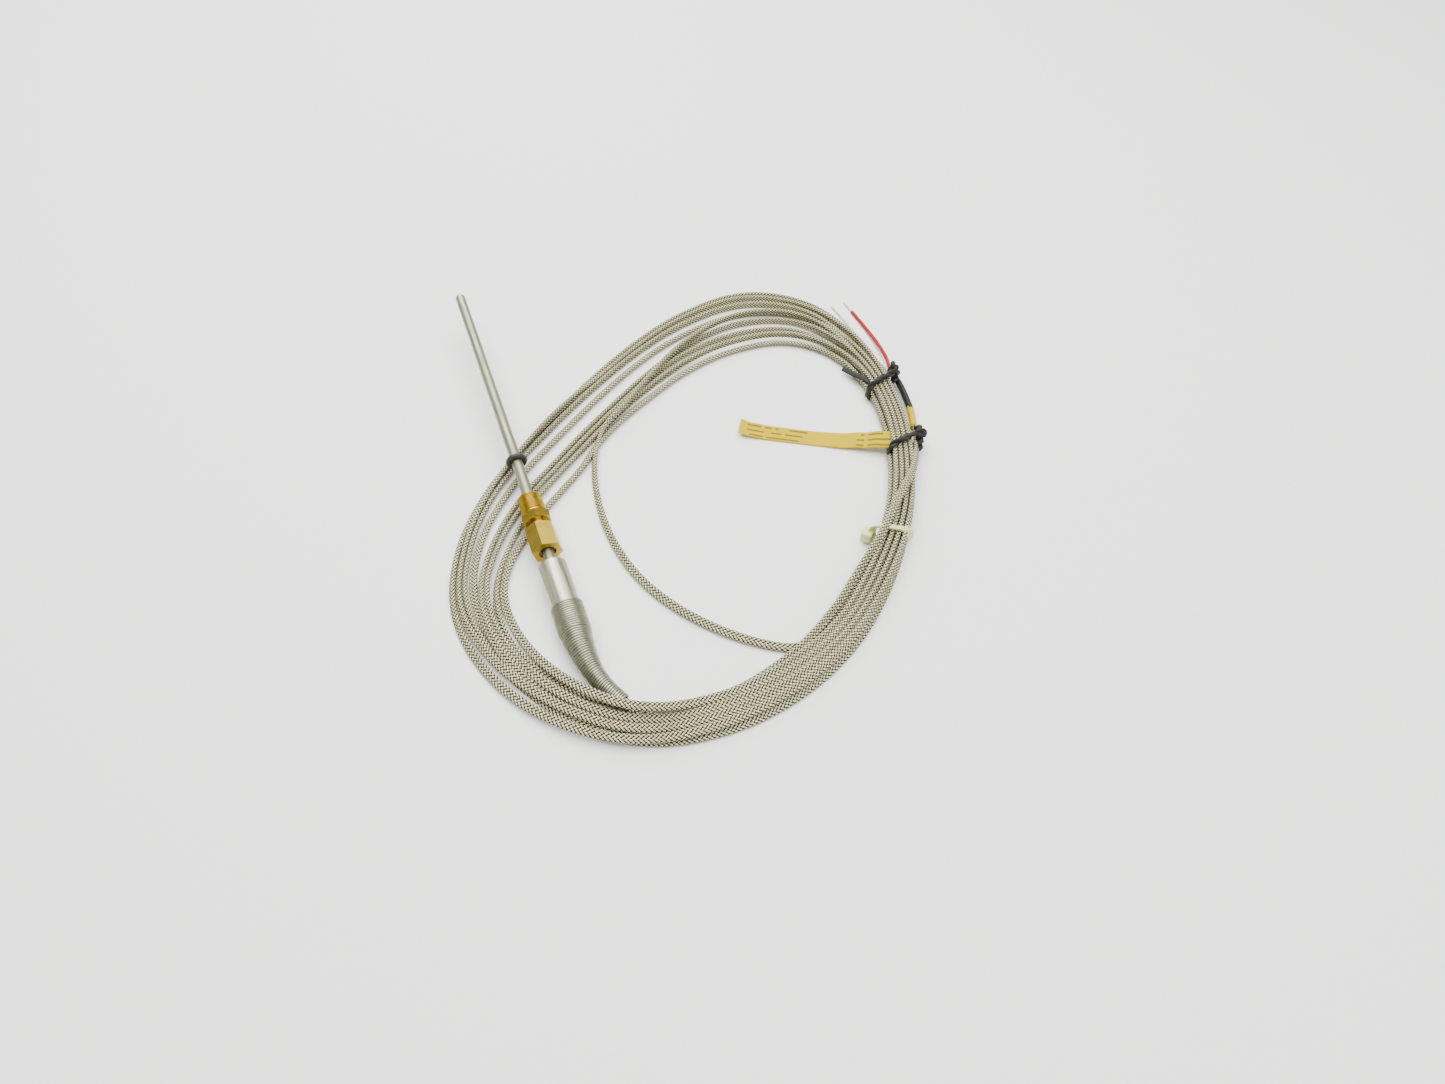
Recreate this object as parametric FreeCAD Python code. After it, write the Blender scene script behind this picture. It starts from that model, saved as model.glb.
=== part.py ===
"""Thermocouple: sheathed probe, sliding brass compression gland, transition sleeve, spring strain relief
and a flat braided lead in a loose coil. Units are millimetres.

The frame stands on the surface that the thermocouple lies on: +Y runs along the probe to its tip, seen from
above, and +Z is up. The probe rises gently to its tip, because its lower end rests on the spring's end.
"""
import FreeCAD, Part
import math
import os

from FreeCAD import Placement, Rotation, Vector

os.makedirs("parts", exist_ok=True)

# ---- probe, along its own axis: station 0 is the sleeve's upper end, and the tip is the largest station
SHEATH_OD = 4.7625
SHEATH_WALL = 0.9
TIP_AT = 174.0
TIP_CAP_LENGTH = 2.2
SHEATH_TAIL_AT = -12.0
SLEEVE_OD = 11.1125
SLEEVE_LENGTH = 32.0
SLEEVE_COLLAR = 8.0
SLEEVE_BORE = 9.4
TILT = 3.3
PROBE_X = -2.3
SLEEVE_Y = -53.83
SLEEVE_Z = 9.0

# ---- thermoelements and what holds them
WIRE_D = 0.812
WIRE_OFFSET = 0.72
BEAD_OD = 2.8
BEAD_HOLE_D = 0.92
BEAD_LENGTH = 29.0
BEAD_GAP = 0.4
BEAD_COUNT = 6
BEADS_FROM = -9.0
JUNCTION_AT = 167.2
CRIMP_D = 1.4
CRIMP_LENGTH = 5.0
LEAD_WIRE_D = 1.36
SPLICE_MIDDLE = -20.0
SPLICE_STAGGER = 3.2

# ---- compression gland, at rest on the probe
RUNNING_GAP = 0.05
HEX_FLATS = 11.1125
NUT_FROM, NUT_TO = 6.7, 18.9
BODY_HEX_FROM, BODY_HEX_TO = 21.6, 25.9
THREAD_TO = 35.8
THREAD_PITCH = 0.9407
THREAD_DEPTH = 0.62
THREAD_END_D = 9.9
THREAD_TAPER = 1.0 / 16.0
SPIGOT_D = 8.4
SPIGOT_FROM = 11.0
CHAMBER_D = 7.2
CHAMBER_TO = 19.0
MOUTH_D = 7.0
MOUTH_DEPTH = 2.2
NUT_FLOOR = 9.6
PACKING_FROM = 14.55
FOLLOWER_FREE_TRAVEL = 0.55
NUT_TURN = 18.0
BODY_TURN = 30.0

# ---- rubber ring on the probe
RING_AT = 57.8
RING_SECTION = 2.2

# ---- spring: (distance from its upper end, outer radius), and where its sections stand
SPRING_WIRE = 0.9
SPRING_OVER_SLEEVE = 11.4
SPRING_SHAPE = [(0, 6.5), (12.0, 6.5), (13.5, 6.1), (22.0, 5.05), (31.0, 3.9), (39.0, 3.55), (60.0, 3.5)]
SPRING_STATIONS = [0, 12.0, 13.5, 16, 19, 22, 25, 28, 31, 33, 35, 37, 39, 41, 43, 45]

# ---- lead: a flat braided cable; its tubes are round with nearly the same section
TUBE_D = 3.0
SHRINK_OD = 3.7
SHRINK_ID = 3.1
LEAD_OD = 1.5
LEAD_END_CHAMFER = 0.2
WRAP_OD = 3.6

# ---- coil: (angle, outer radius, inner radius, underside, top) about its centre, counter-clockwise
COIL_X, COIL_Y = 69.2, -25.3
COIL_BEVEL = 1.2
COIL_STATIONS = [
    (0, 101.8, 90, 1.3, 8.6), (15, 111.8, 98.5, 1.3, 8.6), (30, 127.5, 106, 0.8, 7.8),
    (38, 136, 106.5, 0.3, 6.8), (45, 141, 101, 0, 6.2), (53, 143.5, 93.5, 0, 6.0),
    (60, 137, 85.5, 0, 6.0), (75, 116.5, 70.5, 0, 6.0), (90, 97.5, 60, 0, 6.2),
    (105, 85.5, 54, 0, 6.2), (120, 80, 50, 0, 5.6), (135, 79.5, 49.5, 0, 4.8),
    (150, 84.5, 53, 0, 3.9), (165, 93.5, 60.5, 0, 3.7), (180, 106.5, 74, 0, 3.7),
    (195, 118, 94.5, 0, 3.7), (210, 124, 105, 0, 4.6), (225, 128, 115, 0, 5.6),
    (240, 129.5, 118.5, 0, 6.2), (255, 122.5, 107.5, 0, 6.2), (270, 115, 96, 0, 6.2),
    (285, 106, 87, 0, 6.4), (300, 98.5, 81.5, 0.6, 7.4), (315, 94.6, 81, 1.3, 8.6),
    (330, 91.2, 82, 1.3, 8.6), (345, 94.8, 85, 1.3, 8.6),
]

# ---- routes, as points in the object's frame
TAIL_ROUTE = [
    (-2.3, -84.78, 7.22), (-2.3, -93.8, 6.7), (-0.9, -104.3, 5.3), (2.3, -113.3, 4.2),
    (7.4, -122.3, 2.9), (15.5, -129.8, 1.9), (25.0, -135.3, 1.8), (36.0, -138.8, 1.8),
]
LOOSE_ROUTE = [
    (58.0, 33.7, 3.0), (46.0, 25.2, 2.4), (38.0, 16.7, 1.9), (31.8, 5.7, 1.8), (27.4, -8.8, 1.8),
    (24.6, -25.8, 1.8), (24.3, -45.3, 1.8), (27.8, -65.3, 1.8), (35.6, -83.3, 1.8), (46.5, -98.8, 1.8),
    (59.5, -111.8, 1.8), (73.5, -121.3, 2.0), (88.5, -126.8, 2.4),
]
END_ROUTE = [
    (129.6, -87.9, 4.4), (139.5, -80.2, 3.6), (149.7, -71.5, 3.1), (158.0, -61.0, 3.1),
    (165.0, -49.0, 3.1), (171.1, -36.0, 3.1), (175.5, -25.3, 3.1), (177.4, -19.5, 3.1),
]
SHRINK_ROUTE = [
    (177.4, -19.5, 3.1), (179.6, -10.5, 3.1), (180.7, -1.5, 3.1), (181.0, 7.5, 3.0),
]
RED_REST = [(183.6, 16.0, 3.0), (186.5, 30.0, 1.9), (187.6, 44.0, 1.0), (187.3, 57.8, 0.8)]
WHITE_REST = [(181.3, 16.5, 1.8), (181.7, 30.0, 1.2), (181.3, 43.5, 0.85), (180.2, 56.4, 0.78)]
BARE_LENGTH = 9.0

# ---- ties, at angles about the coil's centre: (name, angle, room beside the coil, has a loop), and the label
TIE_THICKNESS = 1.1
KNOT_RADIUS = 1.7
KNOT_HEIGHT = 5.6
TWIST_TIES = [("twist_tie_upper", 12.5, 6.4, True), ("twist_tie_lower", 350.0, 5.6, False)]
CABLE_TIE_ANGLE = 314.0
TWIST_TIE_WIDTH = 2.2
CABLE_TIE_WIDTH = 3.4
LABEL_WIDTH = 9.2
LABEL_THICKNESS = 0.3
LABEL_START = (99.0, -1.8)
LABEL_HEADING = -31.5
LABEL_PROFILE = [(0, 1.4), (14, 0.5), (34, 0.1), (50, 0.5), (58, 2.0), (64, 4.2)]


def export(name, shape):
    """Write one node's STEP file."""
    if not shape.isValid():
        print("INVALID", name)
    shape.exportStep(f"parts/{name}.step")
    print(f"{name:28s} {shape.Volume:10.1f} mm3  solids {len(shape.Solids)}")


def probe_placement():
    """Where the probe's own frame sits: its Z runs along the probe, its X is the object's X."""
    return Placement(Vector(PROBE_X, SLEEVE_Y, SLEEVE_Z), Rotation(Vector(1, 0, 0), TILT - 90.0))


def on_probe(shape):
    """A shape made round the probe's own Z axis, moved to its place on the object."""
    moved = shape.copy()
    moved.Placement = probe_placement().multiply(moved.Placement)
    return moved


def turned(profile):
    """A solid of revolution about Z from a closed outline of (radius, station) points."""
    points = [Vector(radius, 0, station) for radius, station in profile]
    face = Part.Face(Part.makePolygon(points + [points[0]]))
    return face.revolve(Vector(0, 0, 0), Vector(0, 0, 1), 360)


def tube(outer_d, inner_d, start, end):
    """A straight hollow cylinder on Z between two stations."""
    outer, inner = outer_d / 2, inner_d / 2
    return turned([(inner, start), (outer, start), (outer, end), (inner, end)])


def rod(diameter, start, end, x=0.0):
    """A solid cylinder parallel to Z, x aside from it."""
    return Part.makeCylinder(diameter / 2, end - start, Vector(x, 0, start), Vector(0, 0, 1))


def hexagon(flats, start, end, turn, chamfer):
    """A hexagonal prism on Z with its corners turned off at both ends."""
    corner = flats / math.sqrt(3)
    angles = [math.radians(turn + 60 * i) for i in range(6)]
    points = [Vector(corner * math.cos(a), corner * math.sin(a), start) for a in angles]
    prism = Part.Face(Part.makePolygon(points + [points[0]])).extrude(Vector(0, 0, end - start))
    rim = flats / 2 - 0.1
    reach = corner + 0.2
    slope = (reach - rim) * math.tan(math.radians(30))
    low = start + (slope if chamfer[0] else 0)
    high = end - (slope if chamfer[1] else 0)
    envelope = turned([
        (0, start), (rim if chamfer[0] else reach, start), (reach, low + 0.001),
        (reach, high - 0.001), (rim if chamfer[1] else reach, end), (0, end),
    ])
    return prism.common(envelope)


def route_wire(points, name=""):
    """Straight runs joined by tangent arcs, each arc as large as its two runs allow."""
    corners = [Vector(*p) for p in points]
    edges, radii = [], []
    start = corners[0]
    for before, corner, after in zip(corners, corners[1:], corners[2:]):
        incoming = corner.sub(before)
        outgoing = after.sub(corner)
        cut = 0.45 * min(incoming.Length, outgoing.Length)
        half_turn = incoming.getAngle(outgoing) / 2
        radii.append(cut / math.tan(half_turn))
        first = corner - incoming.normalize() * cut
        last = corner + outgoing.normalize() * cut
        centre_side = (first + last) * 0.5 - corner
        middle = corner + centre_side.normalize() * (radii[-1] / math.cos(half_turn) - radii[-1])
        edges.append(Part.LineSegment(start, first).toShape())
        edges.append(Part.Arc(first, middle, last).toShape())
        start = last
    edges.append(Part.LineSegment(start, corners[-1]).toShape())
    if name:
        print(f"{name}: length {sum(e.Length for e in edges):.1f}, radii", [round(r, 1) for r in radii])
    return Part.Wire(edges)


def sweep(path, diameter):
    """A round rod along a path."""
    first = path.OrderedEdges[0]
    start = first.valueAt(first.FirstParameter)
    heading = first.tangentAt(first.FirstParameter)
    section = Part.Wire([Part.Circle(start, heading, diameter / 2).toShape()])
    return path.makePipeShell([section], True, False)


def cable(points, diameter, name):
    """A round rod along a route, with its volume compared with its section times its length."""
    path = route_wire(points, name)
    solid = sweep(path, diameter)
    expected = math.pi * diameter ** 2 / 4 * path.Length
    print(f"   volume over section times length: {solid.Volume / expected:.4f}")
    return solid


def make_probe():
    """Sheath, tip, beads, thermoelements, junction, splices and the potted sleeve."""
    bore = SHEATH_OD - 2 * SHEATH_WALL
    cap_from = TIP_AT - TIP_CAP_LENGTH
    radius = SHEATH_OD / 2
    export("probe_sheath", on_probe(tube(SHEATH_OD, bore, SHEATH_TAIL_AT, cap_from)))

    cap = rod(SHEATH_OD, cap_from, TIP_AT)
    rim = [e for e in cap.Edges if e.BoundBox.ZMin > TIP_AT - 1e-6]
    cap = cap.makeFillet(0.75 * radius, rim)
    export("tip_cap", on_probe(cap.fuse(rod(bore - 0.1, cap_from - 2.0, cap_from)).removeSplitter()))

    beads = []
    for index in range(BEAD_COUNT):
        start = BEADS_FROM + index * (BEAD_LENGTH + BEAD_GAP)
        bead = rod(BEAD_OD, start, start + BEAD_LENGTH)
        for side in (-1, 1):
            bead = bead.cut(rod(BEAD_HOLE_D, start - 1, start + BEAD_LENGTH + 1, side * WIRE_OFFSET))
        beads.append(on_probe(bead))
    export("insulator_beads", Part.makeCompound(beads))

    potting = rod(SLEEVE_BORE, -SLEEVE_LENGTH + 1.0, -SLEEVE_COLLAR)
    potting = potting.cut(rod(SHEATH_OD, SHEATH_TAIL_AT, 0))
    plug = rod(bore, SHEATH_TAIL_AT, BEADS_FROM - 0.4)
    for side, polarity in ((1, "positive"), (-1, "negative")):
        x = side * WIRE_OFFSET
        crimp_from = SPLICE_MIDDLE - side * SPLICE_STAGGER - CRIMP_LENGTH / 2
        crimp_to = crimp_from + CRIMP_LENGTH
        middle = (crimp_from + crimp_to) / 2
        element = rod(WIRE_D, middle + 0.1, JUNCTION_AT, x)
        conductor = rod(WIRE_D, crimp_from, middle - 0.1, x)
        insulation = rod(LEAD_WIRE_D, -SLEEVE_LENGTH + 1.0, crimp_from, x)
        crimp = rod(CRIMP_D, crimp_from, crimp_to, x).cut(rod(WIRE_D, crimp_from - 1, crimp_to + 1, x))
        export(f"thermoelement_{polarity}", on_probe(element))
        export(f"splice_{polarity}", on_probe(crimp))
        export(f"inner_lead_{polarity}", on_probe(insulation.fuse(conductor).removeSplitter()))
        for inside in (rod(WIRE_D, middle, 0, x), rod(CRIMP_D, crimp_from, crimp_to, x), insulation):
            potting = potting.cut(inside)
        plug = plug.cut(rod(WIRE_D, -30, 0, x))
    export("sleeve_potting", on_probe(potting))
    export("sheath_seal", on_probe(plug))
    export("hot_junction", on_probe(turned([
        (0, JUNCTION_AT), (1.2, JUNCTION_AT), (1.25, JUNCTION_AT + 0.9),
        (0.9, JUNCTION_AT + 1.9), (0, JUNCTION_AT + 2.2),
    ])))

    outer, inner = SLEEVE_OD / 2, SLEEVE_BORE / 2
    export("transition_sleeve", on_probe(turned([
        (radius, 0), (outer - 0.4, 0), (outer, -0.4), (outer, -SLEEVE_LENGTH + 0.3),
        (outer - 0.3, -SLEEVE_LENGTH), (inner, -SLEEVE_LENGTH),
        (inner, -SLEEVE_COLLAR), (radius, -SLEEVE_COLLAR),
    ])))


def thread_outline():
    """The tapered pipe thread's outline, from its end at the probe's tip side back to the shoulder."""
    root_to = BODY_HEX_TO + 0.7
    end_r = THREAD_END_D / 2
    points = [(end_r - THREAD_DEPTH - 0.1, THREAD_TO)]
    turns = int((THREAD_TO - root_to - 0.5) / THREAD_PITCH)
    for turn in range(turns):
        crest = THREAD_TO - 0.5 - turn * THREAD_PITCH
        crest_r = end_r + (THREAD_TO - crest) * THREAD_TAPER / 2
        points.append((crest_r, crest + 0.06))
        points.append((crest_r, crest - 0.06))
        points.append((crest_r - THREAD_DEPTH, crest - THREAD_PITCH / 2))
    points.append((end_r - 0.35, root_to))
    return points


def make_gland():
    """Brass body, packing, follower and nut, each free to move as the real ones are."""
    bore = SHEATH_OD + 2 * RUNNING_GAP
    bore_r, spigot_r, chamber_r = bore / 2, SPIGOT_D / 2, CHAMBER_D / 2
    shoulder_r = HEX_FLATS / 2 - 0.15

    core = turned(
        [(bore_r, THREAD_TO)] + thread_outline()
        + [
            (shoulder_r, BODY_HEX_TO + 0.7), (shoulder_r, BODY_HEX_TO - 0.2),
            (spigot_r - 0.35, BODY_HEX_TO - 0.2), (spigot_r - 0.35, BODY_HEX_FROM - 0.9),
            (spigot_r, BODY_HEX_FROM - 1.3), (spigot_r, SPIGOT_FROM + 0.4), (spigot_r - 0.4, SPIGOT_FROM),
            (chamber_r, SPIGOT_FROM), (chamber_r, CHAMBER_TO), (bore_r, CHAMBER_TO),
        ]
    )
    flats = hexagon(HEX_FLATS, BODY_HEX_FROM, BODY_HEX_TO, BODY_TURN, (True, True))
    flats = flats.cut(rod(SPIGOT_D - 1.2, BODY_HEX_FROM - 1, BODY_HEX_TO + 1))
    export("gland_body", on_probe(core.fuse(flats).removeSplitter()))

    packing = tube(CHAMBER_D - 2 * RUNNING_GAP, bore, PACKING_FROM, CHAMBER_TO - RUNNING_GAP)
    export("gland_packing", on_probe(packing))

    flange_from = NUT_FLOOR + RUNNING_GAP
    stem_r = chamber_r - RUNNING_GAP
    stem_to = PACKING_FROM - FOLLOWER_FREE_TRAVEL
    export("gland_follower", on_probe(turned([
        (bore_r, flange_from), (stem_r + 0.4, flange_from), (stem_r + 0.4, flange_from + 0.75),
        (stem_r, flange_from + 0.75), (stem_r, stem_to), (bore_r, stem_to),
    ])))

    nut = hexagon(HEX_FLATS, NUT_FROM, NUT_TO, NUT_TURN, (False, True))
    nut = nut.cut(rod(bore + 0.3, NUT_FROM - 1, NUT_TO + 1))
    nut = nut.cut(rod(SPIGOT_D + 2 * RUNNING_GAP, NUT_FLOOR, NUT_TO + 1))
    nut = nut.cut(rod(MOUTH_D, NUT_FROM - 1, NUT_FROM + MOUTH_DEPTH))
    export("gland_nut", on_probe(nut))


def make_rubber_ring():
    """The ring that marks the insertion depth on the probe."""
    inner = SHEATH_OD / 2 + RUNNING_GAP
    ring = Part.makeTorus(inner + RING_SECTION / 2, RING_SECTION / 2, Vector(0, 0, RING_AT), Vector(0, 0, 1))
    export("rubber_ring", on_probe(ring))


def spring_radius(along):
    """The spring's outer radius, along its centre line from its upper end."""
    for (start, start_r), (end, end_r) in zip(SPRING_SHAPE, SPRING_SHAPE[1:]):
        if along <= end:
            return start_r + (end_r - start_r) * (along - start) / (end - start)
    return SPRING_SHAPE[-1][1]


def make_spring():
    """The closed-wound strain relief, as a hollow shell of its wire's thickness."""
    top = probe_placement().multVec(Vector(0, 0, SPRING_OVER_SLEEVE - SLEEVE_LENGTH))
    path = route_wire([tuple(top)] + TAIL_ROUTE[1:6])
    grain = 0.1
    stretched = path.discretize(Distance=grain)
    outer, inner = [], []
    for along in SPRING_STATIONS:
        index = int(along / grain)
        here, ahead = stretched[index], stretched[index + 1]
        heading = ahead.sub(here).normalize()
        radius = spring_radius(along)
        outer.append(Part.Wire([Part.Circle(here, heading, radius).toShape()]))
        inner.append(Part.Wire([Part.Circle(here, heading, radius - SPRING_WIRE).toShape()]))
    shell = Part.makeLoft(outer, True, True).cut(Part.makeLoft(inner, True, True))
    print("spring ends at", stretched[index], "lowest", shell.BoundBox.ZMin)
    export("strain_relief_spring", shell)


def coil_section(angle, outer, inner, low, high):
    """The corners of the coil's section at an angle: a rectangle with its corners taken off."""
    across = Vector(math.cos(math.radians(angle)), math.sin(math.radians(angle)), 0)
    middle = Vector(COIL_X, COIL_Y, 0)
    flat = [
        (inner + COIL_BEVEL, low), (outer - COIL_BEVEL, low),
        (outer, low + COIL_BEVEL), (outer, high - COIL_BEVEL),
        (outer - COIL_BEVEL, high), (inner + COIL_BEVEL, high),
        (inner, high - COIL_BEVEL), (inner, low + COIL_BEVEL),
    ]
    return [middle + across * radius + Vector(0, 0, z) for radius, z in flat]


def make_coil():
    """The bundle of turns as one closed ring that widens where the turns fan out."""
    sections = [coil_section(*station) for station in COIL_STATIONS]
    faces = []
    for section, following in zip(sections, sections[1:] + sections[:1]):
        for corner in range(len(section)):
            beside = (corner + 1) % len(section)
            here = Part.LineSegment(section[corner], section[beside]).toShape()
            there = Part.LineSegment(following[corner], following[beside]).toShape()
            faces.append(Part.makeRuledSurface(here, there))
    shell = Part.makeShell(faces)
    shell.sewShape()
    solid = Part.makeSolid(shell)
    if solid.Volume < 0:
        solid.reverse()
    return solid


def coil_size(angle):
    """Outer radius, inner radius, underside and top of the coil between its stations."""
    around = COIL_STATIONS + [(360,) + COIL_STATIONS[0][1:]]
    for here, there in zip(around, around[1:]):
        if here[0] <= angle <= there[0]:
            share = (angle - here[0]) / (there[0] - here[0])
            return [a + (b - a) * share for a, b in zip(here[1:], there[1:])]


def radial_box(angle, inner, outer, low, high, width, slide=0.0):
    """A box set across the coil at an angle, slide along the turns."""
    box = Part.makeBox(outer - inner, width, high - low, Vector(inner, slide - width / 2, low))
    box.rotate(Vector(0, 0, 0), Vector(0, 0, 1), angle)
    box.translate(Vector(COIL_X, COIL_Y, 0))
    return box


def tie_band(angle, width, room_outside, coil):
    """A band round the coil, and round what lies beside it, room_outside wide."""
    outer, inner, low, high = coil_size(angle)
    window = radial_box(angle, inner - 0.2, outer + room_outside, low - 0.1, high + 0.2, width + 2)
    band = radial_box(
        angle, inner - 0.2 - TIE_THICKNESS, outer + room_outside + TIE_THICKNESS,
        low - 0.1 - TIE_THICKNESS, high + 0.2 + TIE_THICKNESS, width)
    along = [e for e in band.Edges if abs(e.Length - width) < 1e-6]
    return band.makeFillet(0.95 * TIE_THICKNESS, along).cut(window).cut(coil)


def coil_point(angle, radius, z):
    """A point at an angle and a radius about the coil's centre."""
    turn = math.radians(angle)
    return Vector(COIL_X + radius * math.cos(turn), COIL_Y + radius * math.sin(turn), z)


def make_ties(coil):
    """Two twist ties with their twisted ends, and a nylon cable tie with its head."""
    for name, angle, room, loop in TWIST_TIES:
        outer, inner, low, high = coil_size(angle)
        tie = tie_band(angle, TWIST_TIE_WIDTH, room, coil)
        knot_at = coil_point(angle, outer + room + TIE_THICKNESS + 0.8, KNOT_HEIGHT)
        tie = tie.fuse(Part.makeSphere(KNOT_RADIUS, knot_at))
        ahead = coil_point(angle + 4.2, outer + room + 2.6, 7.0)
        reach = ahead.sub(knot_at)
        tie = tie.fuse(Part.makeCylinder(TWIST_TIE_WIDTH / 2, reach.Length, knot_at, reach))
        if loop:
            loop_end = coil_point(angle + 8.5, inner - 3.4, 2.2)
            loop_start = coil_point(angle, inner - 0.9, 2.6)
            reach = loop_end.sub(loop_start)
            tie = tie.fuse(Part.makeCylinder(0.95, reach.Length, loop_start, reach))
        export(name, tie.removeSplitter())

    outer, inner, low, high = coil_size(CABLE_TIE_ANGLE)
    band = tie_band(CABLE_TIE_ANGLE, CABLE_TIE_WIDTH, 0.2, coil)
    head = radial_box(CABLE_TIE_ANGLE, inner - 5.2, inner - 0.9, 2.4, 7.4, 5.2)
    export("cable_tie", band.fuse(head.cut(coil)).removeSplitter())


def make_label():
    """The flag label's free strip, a thin band that rises to the bundle, and its wrap round the lead."""
    top = [Vector(along, 0, z + LABEL_THICKNESS) for along, z in LABEL_PROFILE]
    under = [Vector(along, 0, z) for along, z in reversed(LABEL_PROFILE)]
    outline = Part.makePolygon(top + under + [top[0]])
    strip = Part.Face(outline).extrude(Vector(0, LABEL_WIDTH, 0))
    strip.translate(Vector(0, -LABEL_WIDTH / 2, 0))
    strip.rotate(Vector(0, 0, 0), Vector(0, 0, 1), LABEL_HEADING)
    strip.translate(Vector(LABEL_START[0], LABEL_START[1], 0))
    return strip


def make_lead(coil):
    """The coil, the tubes that leave it, and the dressed end of the lead."""
    export("cable_coil", coil)
    export("cable_tail", cable(TAIL_ROUTE, TUBE_D, "tail"))
    export("cable_loose_turn", cable(LOOSE_ROUTE, TUBE_D, "loose turn"))
    export("cable_end", cable(END_ROUTE, TUBE_D, "end"))
    wrapped = Part.Wire(route_wire(END_ROUTE).Edges[-3:])
    export("label_wrap", sweep(wrapped, WRAP_OD).cut(sweep(wrapped, TUBE_D)))
    sleeve_path = route_wire(SHRINK_ROUTE, "shrink")
    export("heat_shrink_sleeve", sweep(sleeve_path, SHRINK_OD).cut(sweep(sleeve_path, SHRINK_ID)))
    aside = LEAD_OD / 2 + 0.01
    for colour, lift, rest in (("red", aside, RED_REST), ("white", -aside, WHITE_REST)):
        route = [(x, y, z + lift) for x, y, z in SHRINK_ROUTE] + rest
        end = Vector(*route[-1])
        heading = end.sub(Vector(*route[-2])).normalize()
        lead = cable(route, LEAD_OD, colour)
        rim = [e for e in lead.Edges if e.CenterOfMass.distanceToPoint(end) < 0.01]
        export(f"lead_{colour}", lead.makeChamfer(LEAD_END_CHAMFER, rim))
        export(f"conductor_{colour}", Part.makeCylinder(WIRE_D / 2, BARE_LENGTH, end, heading))


def main():
    """Build and write every node."""
    coil = make_coil()
    make_probe()
    make_gland()
    make_rubber_ring()
    make_spring()
    make_lead(coil)
    make_ties(coil)
    export("label_strip", make_label())


main()
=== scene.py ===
"""Looks of the thermocouple: probe, brass gland, spring strain relief and its braided lead in a loose coil.

Every piece is made in metres in the object's own frame: +Y runs along the probe to its tip, +Z is up, and the
surface that it all lies on is z = 0.
"""

import logging
import math
from dataclasses import dataclass, field
from enum import Enum
from typing import Callable, Optional, Sequence

import bmesh
import bpy
from bpy.types import Material, Mesh, Node, NodeSocket, NodeTree, Object
from mathutils import Matrix, Vector


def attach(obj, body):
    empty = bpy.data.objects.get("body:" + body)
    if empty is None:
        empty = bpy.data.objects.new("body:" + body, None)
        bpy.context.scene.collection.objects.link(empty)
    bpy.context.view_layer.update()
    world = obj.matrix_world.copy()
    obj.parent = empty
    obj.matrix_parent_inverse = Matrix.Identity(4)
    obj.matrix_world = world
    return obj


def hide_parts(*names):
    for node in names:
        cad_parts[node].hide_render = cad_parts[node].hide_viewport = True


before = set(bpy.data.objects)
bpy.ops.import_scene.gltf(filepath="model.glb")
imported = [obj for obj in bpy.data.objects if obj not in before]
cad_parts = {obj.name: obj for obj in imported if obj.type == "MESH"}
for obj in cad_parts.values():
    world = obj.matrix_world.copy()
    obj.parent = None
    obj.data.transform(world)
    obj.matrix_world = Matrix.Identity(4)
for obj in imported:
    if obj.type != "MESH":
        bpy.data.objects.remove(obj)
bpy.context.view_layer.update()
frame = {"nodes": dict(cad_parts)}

MM = 0.001
LOG = logging.getLogger("thermocouple")
Point = tuple[float, float, float]

# How far the probe rises to its tip, and how far a cable that stands on its edge is turned.
PROBE_TILT = math.radians(3.3)
ON_EDGE = math.radians(88.0)

# The middle of the coil, in millimetres.
COIL_CENTRE = (69.2, -25.3)


class Slot(Enum):
    """Material slot names for the new pieces; no piece takes its finish from them."""

    SPRING = "spring_wire"
    BRAID = "cable_braid"
    SHRINK = "shrink_tube"
    RED = "red_insulation"
    WHITE = "white_insulation"
    TWIST_TIE = "twist_tie"
    NYLON = "nylon_tie"
    LABEL = "label"


# ---------------------------------------------------------------- shader building blocks


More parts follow.
